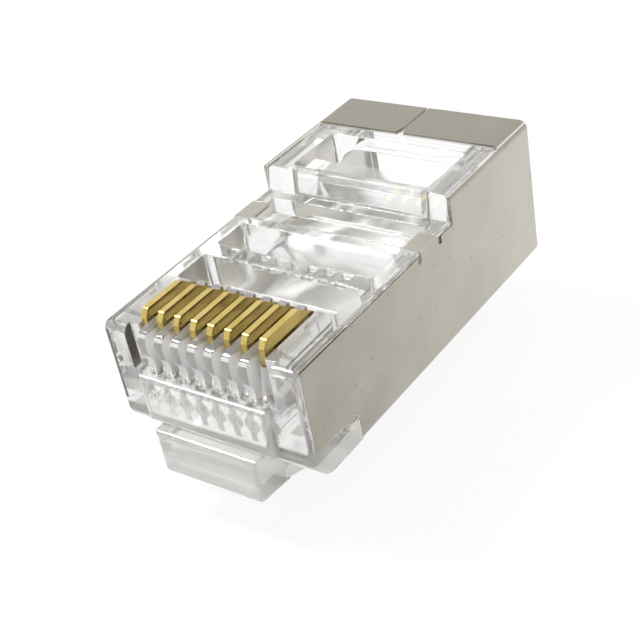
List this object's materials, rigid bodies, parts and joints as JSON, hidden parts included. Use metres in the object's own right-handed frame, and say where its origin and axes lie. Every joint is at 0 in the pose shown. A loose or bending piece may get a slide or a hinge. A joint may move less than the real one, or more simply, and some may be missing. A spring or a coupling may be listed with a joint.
{
  "type": "modular plug",
  "caption": "Shielded clear modular plug for data cable, not yet crimped, with gold blade contacts, nickel-plated folded shield and a sprung latch.",
  "frame": {"origin": "centre of the flat front face of the nose bar, midway between the latch-side face and the top of the comb", "axes": "+X across the plug, +Y from the nose towards the cable end, +Z towards the contact side"},
  "size_m": [0.0116, 0.0232, 0.0118],
  "materials": {
    "clear_polycarbonate": "clear gloss",
    "nickel_sheet": "satin nickel plating",
    "gold_contact": "polished gold plating"
  },
  "bodies": {
    "plug_body": {"housing": "clear_polycarbonate", "shield": "nickel_sheet"},
    "latch": {"latch_lever": "clear_polycarbonate"},
    "blade_1": {"contact_1": "gold_contact"},
    "blade_2": {"contact_2": "gold_contact"},
    "blade_3": {"contact_3": "gold_contact"},
    "blade_4": {"contact_4": "gold_contact"},
    "blade_5": {"contact_5": "gold_contact"},
    "blade_6": {"contact_6": "gold_contact"},
    "blade_7": {"contact_7": "gold_contact"},
    "blade_8": {"contact_8": "gold_contact"}
  },
  "joints": [
    {"name": "latch_hinge", "type": "hinge", "parent": "plug_body", "child": "latch", "pos_m": [0, 0.00168, -0.00405], "axis": [1, 0, 0], "range_deg": [0, 10], "stiffness_Nm_per_rad": 0.3},
    {"name": "blade_1_crimp", "type": "slide", "parent": "plug_body", "child": "blade_1", "axis": [0, 0, -1], "range_m": [0, 0.0013]},
    {"name": "blade_2_crimp", "type": "slide", "parent": "plug_body", "child": "blade_2", "axis": [0, 0, -1], "range_m": [0, 0.0013]},
    {"name": "blade_3_crimp", "type": "slide", "parent": "plug_body", "child": "blade_3", "axis": [0, 0, -1], "range_m": [0, 0.0013]},
    {"name": "blade_4_crimp", "type": "slide", "parent": "plug_body", "child": "blade_4", "axis": [0, 0, -1], "range_m": [0, 0.0013]},
    {"name": "blade_5_crimp", "type": "slide", "parent": "plug_body", "child": "blade_5", "axis": [0, 0, -1], "range_m": [0, 0.0013]},
    {"name": "blade_6_crimp", "type": "slide", "parent": "plug_body", "child": "blade_6", "axis": [0, 0, -1], "range_m": [0, 0.0013]},
    {"name": "blade_7_crimp", "type": "slide", "parent": "plug_body", "child": "blade_7", "axis": [0, 0, -1], "range_m": [0, 0.0013]},
    {"name": "blade_8_crimp", "type": "slide", "parent": "plug_body", "child": "blade_8", "axis": [0, 0, -1], "range_m": [0, 0.0013]}
  ]
}
